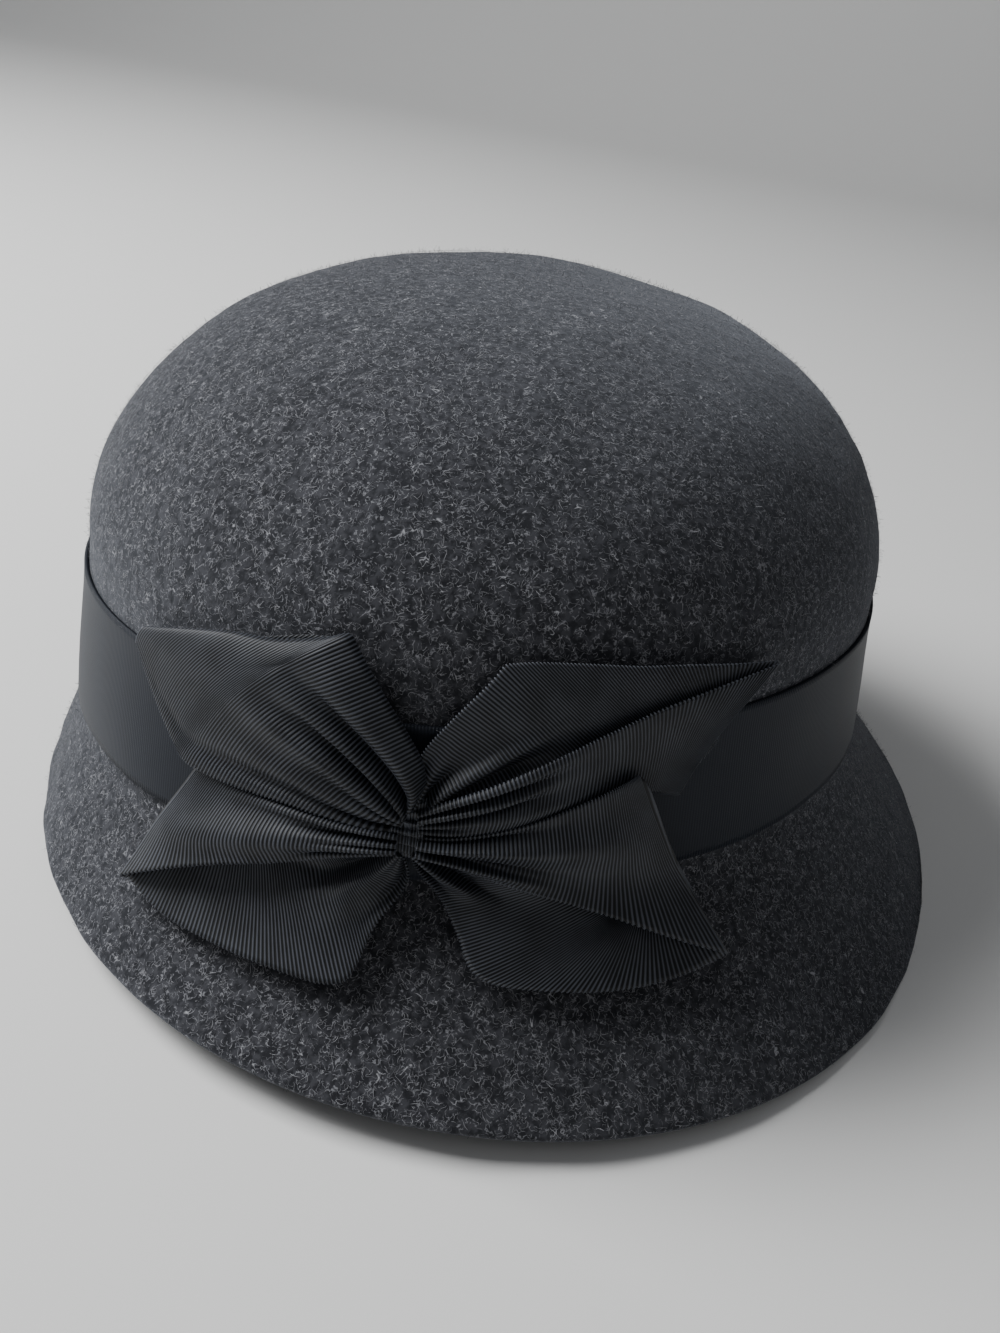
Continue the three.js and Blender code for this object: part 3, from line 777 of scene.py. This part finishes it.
def layer_grid(rows, pleats, counted_at, gather_phase, rolled):
    """A layer of ribbon on the flat pattern: around, up and lift at each point of a grid."""
    lines = smooth_lines(rows, counted_at)
    share = np.linspace(0, 1, ACROSS)
    low, high = lines[:, None, 0:2], lines[:, None, 3:5]
    flat = low + (high - low) * share[:, None]
    across = high - low
    side = np.stack([-across[..., 1], across[..., 0]], -1)
    side /= np.maximum(np.linalg.norm(side, axis=-1, keepdims=True), 1e-9)
    middle = flat.mean(1, keepdims=True) - np.array([0, KNOT_UP])
    side *= np.sign((side * middle).sum(-1, keepdims=True))
    flat = flat + side * (lines[:, 6, None] * 4 * share * (1 - share))[..., None]
    drop = (1 - share**3) ** 0.5 if rolled else 1 - share
    lift = lines[:, 5, None] + (lines[:, 2] - lines[:, 5])[:, None] * drop
    reach = np.hypot(flat[..., 0], flat[..., 1] - KNOT_UP)
    for at, width, height, far in pleats:
        fade = 1 / (1 + np.exp((reach - far * FADE_AT) / (far * FADE_OVER)))
        lift = lift + height * np.exp(-(((share - at) / width) ** 2)) * fade
    small = np.sin(2 * np.pi * SMALL_GATHERS * share + gather_phase)
    lift = lift + GATHER_HEIGHT * small * np.exp(-((reach / GATHER_REACH) ** 2))
    return np.concatenate([flat, lift[..., None]], -1)


def loop_grid(name):
    """Front layer, fold and back layer in one strip, from the middle out and back again."""
    front_count, back_count = COUNTED_AT[name]
    rolled = name == ROLLED_LOOP
    front = layer_grid(FRONT_ROWS[name], FRONT_PLEATS[name], front_count, FRONT_PHASE, rolled)
    back = layer_grid(BACK_ROWS[name], BACK_PLEATS[name], back_count, BACK_PHASE, False)
    back[..., 2] = np.maximum(back[..., 2], BACK_LOWEST)
    front[..., 2] = np.maximum(front[..., 2], FRONT_LOWEST)
    end, start = front[-1], back[0]
    out = end[:, :2] - front[-FOLD_LEAD][:, :2]
    out /= np.maximum(np.linalg.norm(out, axis=1, keepdims=True), 1e-9)
    half = (end[:, 2] - start[:, 2]) / 2
    turn = np.linspace(0, math.pi, FOLD_STEPS + 2)[1:-1, None, None]
    fold = end + (start - end) * (1 - np.cos(turn)) / 2
    fold[..., :2] += out * (half[:, None] * FOLD_BULGE) * np.sin(turn)
    return np.concatenate([front, fold, back])


def ribbon_loop(name):
    """A closed sheet of ribbed ribbon laid on the hat."""
    grid = loop_grid(name)
    points = laid(grid[..., 0], grid[..., 1], grid[..., 2])
    phase = 2 * np.pi * np.arange(len(points)) / LINES_PER_RIB
    rib = np.cos(phase)[:, None]
    # The crosswise threads stick out of the woven edges as tiny loops; the upper left loop
    # shows only one such edge, because its other side is folded over.
    for column, inner in ((0, 1), (-1, -2))[: 1 if name == ROLLED_LOOP else 2]:
        sideways = points[:, column] - points[:, inner]
        sideways /= np.maximum(np.linalg.norm(sideways, axis=1, keepdims=True), 1e-9)
        points[:, column] += sideways * PICOT * rib
    normals = grid_normals(points)
    soften = np.minimum(1, np.hypot(grid[..., 0], grid[..., 1] - KNOT_UP) / FULL_RIBS_AT)
    half = RIBBON_THICKNESS / 2 + RIB_HEIGHT / 2 * rib * soften
    above, below = points + normals * half[..., None], points - normals * half[..., None]
    rings = np.concatenate([above, below[:, ::-1]], axis=1)
    along = np.arange(len(rings))[:, None] * RIB / LINES_PER_RIB
    there = np.linspace(0, RIBBON_WIDTH, ACROSS)
    across = np.concatenate([there, there[::-1]])
    flat = np.stack(np.broadcast_arrays(across, along), -1)
    faces = grid_faces(len(rings), 2 * ACROSS, True)
    step = np.arange(ACROSS - 1)
    above_edge = np.stack([step + 1, step], 1)
    below_edge = np.stack([2 * ACROSS - 1 - step, 2 * ACROSS - 2 - step], 1)
    first = np.concatenate([above_edge, below_edge], 1)
    last = first[:, ::-1] + (len(rings) - 1) * 2 * ACROSS
    node_name = "bow_" + name
    piece = mesh_object(
        node_name + "_ribbon", rings, np.concatenate([faces, first, last]),
        flat=flat, replaced=(node_name,),
    )
    piece.data.materials.append(bow_black)
    return piece


def cut_size(name):
    """The strip's widest line, its length and its area, measured on the flat pattern."""
    grid = loop_grid(name)
    across = np.linalg.norm(np.diff(grid, axis=1), axis=2).sum(1)
    length = len(grid) * RIB / LINES_PER_RIB
    steps = np.linalg.norm(np.diff(grid, axis=0), axis=2).mean(1)
    return across.max(), length, (across[1:] * steps).sum()


for loop_name in FRONT_ROWS:
    loop = ribbon_loop(loop_name)
    width, length, area = cut_size(loop_name)
    cut = (round(float(width), 1), round(float(length), 1), round(float(area)))
    print(loop.name, len(loop.data.polygons), "faces; cut, mm by mm and mm2:", cut)

# %% [markdown]
# ## The gathered middle
# The bow has no wrap over its middle. The ribbon is drawn together with a needle and thread, so
# its pleats run in from the left, pass through a waist about 9 mm high and run out to the right.
# It is made as a short bundle with ridges along it, ribs across it, and two turns of thread.

# %% Gathered middle and its thread
BUNDLE_HALF_LENGTH, WAIST_HALF_HEIGHT, WAIST_HALF_DEPTH = 3.0, 4.5, 1.9
BUNDLE_FLARE_HEIGHT, BUNDLE_FLARE_DEPTH = 0.5, 0.2
BUNDLE_PLEATS, PLEAT_DEPTH = 15, 0.16
BUNDLE_LINES, BUNDLE_ROUND, BUNDLE_LIFT = 40, 150, 2.7
THREAD_RADIUS, THREAD_SIDES, THREAD_STEPS = 0.16, 6, 90
# Columns of a turn of thread: its place along the bundle and its slant.
THREAD_TURNS = ((-0.12, 0.10), (0.10, -0.12))
THREAD_TIGHT = 0.97
BUNDLE_ABOVE = 1.2
CLOSING, RIB_RELIEF, RIBS_DRAWN_IN = 0.12, 0.02, 0.8


def bundle_frame():
    """The bundle's centre and its directions: along it, up the hat and outwards."""
    centre = laid(0, KNOT_UP + BUNDLE_ABOVE, BUNDLE_LIFT)
    right = laid(1, KNOT_UP + BUNDLE_ABOVE, BUNDLE_LIFT) - centre
    above = laid(0, KNOT_UP + BUNDLE_ABOVE + 1, BUNDLE_LIFT) - centre
    right /= np.linalg.norm(right)
    above -= right * (above @ right)
    above /= np.linalg.norm(above)
    return centre, right, above, np.cross(right, above)


def bundle_section(along, angle):
    """Height and depth of the bundle's skin at a place along it, with its pleats."""
    wander = 0.5 * np.sin(2.2 * along + 0.7) + 0.25 * np.sin(3 * angle)
    pleat = np.cos(BUNDLE_PLEATS * angle + wander * 2)
    swell = 1 + PLEAT_DEPTH * (pleat - 0.6 * (1 - pleat) * np.exp(-((along / 0.5) ** 2)))
    height = (WAIST_HALF_HEIGHT + BUNDLE_FLARE_HEIGHT * along**2) * np.sin(angle) * swell
    depth = (WAIST_HALF_DEPTH + BUNDLE_FLARE_DEPTH * along**2) * np.cos(angle) * swell
    return height, depth


def thread_turn(at, slant, frame_axes):
    """A thin tube round the bundle's waist."""
    centre, right, above, out = frame_axes
    angle = np.linspace(0, 2 * np.pi, THREAD_STEPS, endpoint=False)
    along = at + slant * np.sin(angle)
    height, depth = bundle_section(along, angle)
    line = (
        centre
        + right * (along * BUNDLE_HALF_LENGTH)[:, None]
        + above * (height * THREAD_TIGHT)[:, None]
        + out * (depth * THREAD_TIGHT)[:, None]
    )
    ahead = np.roll(line, -1, 0) - np.roll(line, 1, 0)
    ahead /= np.linalg.norm(ahead, axis=1, keepdims=True)
    side = np.cross(ahead, right)
    side /= np.linalg.norm(side, axis=1, keepdims=True)
    up = np.cross(side, ahead)
    turn = np.linspace(0, 2 * np.pi, THREAD_SIDES, endpoint=False)
    rings = line + THREAD_RADIUS * (
        np.cos(turn)[:, None, None] * side + np.sin(turn)[:, None, None] * up
    )
    closed = grid_faces(THREAD_SIDES + 1, THREAD_STEPS, True) % (THREAD_SIDES * THREAD_STEPS)
    return rings.reshape(-1, 3), closed


def bow_gather():
    """The pleated bundle, closed at both ends, with its turns of thread."""
    axes_here = bundle_frame()
    centre, right, above, out = axes_here
    along = np.linspace(-1, 1, BUNDLE_LINES)[:, None]
    angle = np.linspace(0, 2 * np.pi, BUNDLE_ROUND, endpoint=False)
    height, depth = bundle_section(along, angle)
    close = np.minimum(1, (1 - np.abs(along)) / CLOSING + 0.25) ** 0.5
    rib = 1 + RIB_RELIEF * np.cos(2 * np.pi * along * BUNDLE_HALF_LENGTH / (RIB * RIBS_DRAWN_IN))
    points = (
        centre
        + right * (along * BUNDLE_HALF_LENGTH)[..., None]
        + above * (height * close * rib)[..., None]
        + out * (depth * close * rib)[..., None]
    )
    across = np.broadcast_to(angle * WAIST_HALF_HEIGHT, points.shape[:2])
    lengthwise = np.broadcast_to(along * BUNDLE_HALF_LENGTH / RIBS_DRAWN_IN, points.shape[:2])
    flat = [np.stack([across, lengthwise], -1).reshape(-1, 2)]
    parts, faces = [points.reshape(-1, 3)], [grid_faces(BUNDLE_LINES, BUNDLE_ROUND, True)]
    count = len(parts[0])
    for at, slant in THREAD_TURNS:
        line, closed = thread_turn(at, slant, axes_here)
        parts.append(line)
        faces.append(closed + count)
        flat.append(np.zeros((len(line), 2)))
        count += len(line)
    ends = np.array([points[0].mean(0), points[-1].mean(0)])
    step = np.arange(BUNDLE_ROUND)
    after = (step + 1) % BUNDLE_ROUND
    last = (BUNDLE_LINES - 1) * BUNDLE_ROUND
    triangles = np.concatenate(
        [
            np.stack([after, step, 0 * step + count], 1),
            np.stack([last + step, last + after, 0 * step + count + 1], 1),
        ]
    )
    flat.append(np.zeros((2, 2)))
    piece = mesh_object(
        "bow_gather_ribbon", np.concatenate(parts + [ends]), np.concatenate(faces), triangles,
        flat=np.concatenate(flat), replaced=("bow_gather",),
    )
    piece.data.materials.append(bow_black)
    return piece


gather = bow_gather()
print("gathered middle:", len(gather.data.polygons), "faces")

# %% [markdown]
# ## Hairs on the felt
# Felt is matted, not woven: short curly hairs lie all over it and a few stand off, which gives
# the hat its soft outline. They are thin curved strips in the tens of thousands, laid on the
# same surface, and half a millimetre to two millimetres long. None grow under the band.

# %% Felt hairs
HAIRS_PER_PIECE, HAIR_PIECES = 26000, 2
HAIR_DARK, HAIR_PALE = (0.025, 0.025, 0.028, 1), (0.28, 0.28, 0.295, 1)
LYING_HEIGHT, STANDING_HEIGHT = (0.05, 0.28), (0.4, 1.3)
HAIR_POINTS = 4
HAIR_LENGTH, HAIR_WIDTH = (0.5, 2.0), (0.04, 0.085)
STANDING_SHARE = 0.16
CURL_SPREAD, CURL_BEND = 1.3, 1.6
ROOT_HEIGHT, TIP_THINNESS = 0.06, 0.35
# The band hides this share of the wall's rows, from the crease up.
UNDER_BAND = 0.86
FIRST_SEED = 100


def hair_material():
    material, tree = new_material("wool_hairs")
    surface = tree.nodes["Principled BSDF"]
    chance = tree.nodes.new("ShaderNodeNewGeometry").outputs["Random Per Island"]
    pale = smooth_range(tree, chance, 0.25, 0.95)
    tree.links.new(blend(tree, pale, HAIR_DARK, HAIR_PALE), surface.inputs["Base Color"])
    surface.inputs["Roughness"].default_value = 0.8
    surface.inputs["Specular IOR Level"].default_value = 0.25
    return material


def felt_hairs(name, seed, material):
    """Thin curved strips spread evenly over the felt that shows."""
    rng = np.random.default_rng(seed)
    skin = hood_outside()
    normals = grid_normals(skin, True)
    next_column = np.roll(skin, -1, axis=1)
    sizes = np.linalg.norm(np.cross(next_column[:-1] - skin[:-1], skin[1:] - skin[:-1]), axis=-1)
    free = np.ones(len(skin) - 1, bool)
    covered = int(WALL_ROWS * UNDER_BAND)
    free[BRIM_ROWS : BRIM_ROWS + covered] = False
    chances = (sizes * free[:, None]).ravel()
    cells = rng.choice(chances.size, HAIRS_PER_PIECE, p=chances / chances.sum())
    row, column = np.divmod(cells, HOOD_COLUMNS)
    a, b = rng.random((2, HAIRS_PER_PIECE, 1))
    after = (column + 1) % HOOD_COLUMNS
    root = skin[row, column] * (1 - a) + skin[row, after] * a
    root = root + (skin[row + 1, column] - skin[row, column]) * b
    normal = normals[row, column]
    heading = rng.normal(size=root.shape)
    heading -= normal * (heading * normal).sum(1, keepdims=True)
    heading /= np.linalg.norm(heading, axis=1, keepdims=True)
    side = np.cross(normal, heading)
    length = rng.uniform(*HAIR_LENGTH, (HAIRS_PER_PIECE, 1))
    curl = rng.normal(0, CURL_SPREAD, (HAIRS_PER_PIECE, 1))
    standing = rng.random((HAIRS_PER_PIECE, 1)) < STANDING_SHARE
    high = rng.uniform(*STANDING_HEIGHT, standing.shape)
    low = rng.uniform(*LYING_HEIGHT, standing.shape)
    height = np.where(standing, high, low)
    half_width = rng.uniform(*HAIR_WIDTH, (HAIRS_PER_PIECE, 1)) / 2
    rows_of_points = []
    place = root + normal * ROOT_HEIGHT
    for step, share in enumerate(np.linspace(0, 1, HAIR_POINTS)):
        angle = curl * share * CURL_BEND
        way = heading * np.cos(angle) + side * np.sin(angle)
        if step:
            place = place + way * length / (HAIR_POINTS - 1)
        arch = np.where(standing, share**1.3, 4 * share * (1 - share))
        middle = place + normal * height * arch
        body = math.sin(math.pi * min(share, 0.92))
        thin = half_width * (TIP_THINNESS + (1 - TIP_THINNESS) * body)
        sideways = np.cross(normal, way) * thin
        rows_of_points.append(middle - sideways)
        rows_of_points.append(middle + sideways)
    points = np.stack(rows_of_points, axis=1).reshape(-1, 3)
    first = (np.arange(HAIRS_PER_PIECE) * 2 * HAIR_POINTS)[:, None, None]
    links = np.arange(HAIR_POINTS - 1)[:, None] * 2 + np.array([0, 1, 3, 2])
    piece = mesh_object(name, points, (first + links).reshape(-1, 4))
    piece.data.materials.append(material)
    return piece


wool = hair_material()
for number in range(HAIR_PIECES):
    hairs = felt_hairs(f"felt_hood_hairs_{number + 1}", FIRST_SEED + number, wool)
    print(hairs.name, len(hairs.data.polygons) * 2, "triangles")
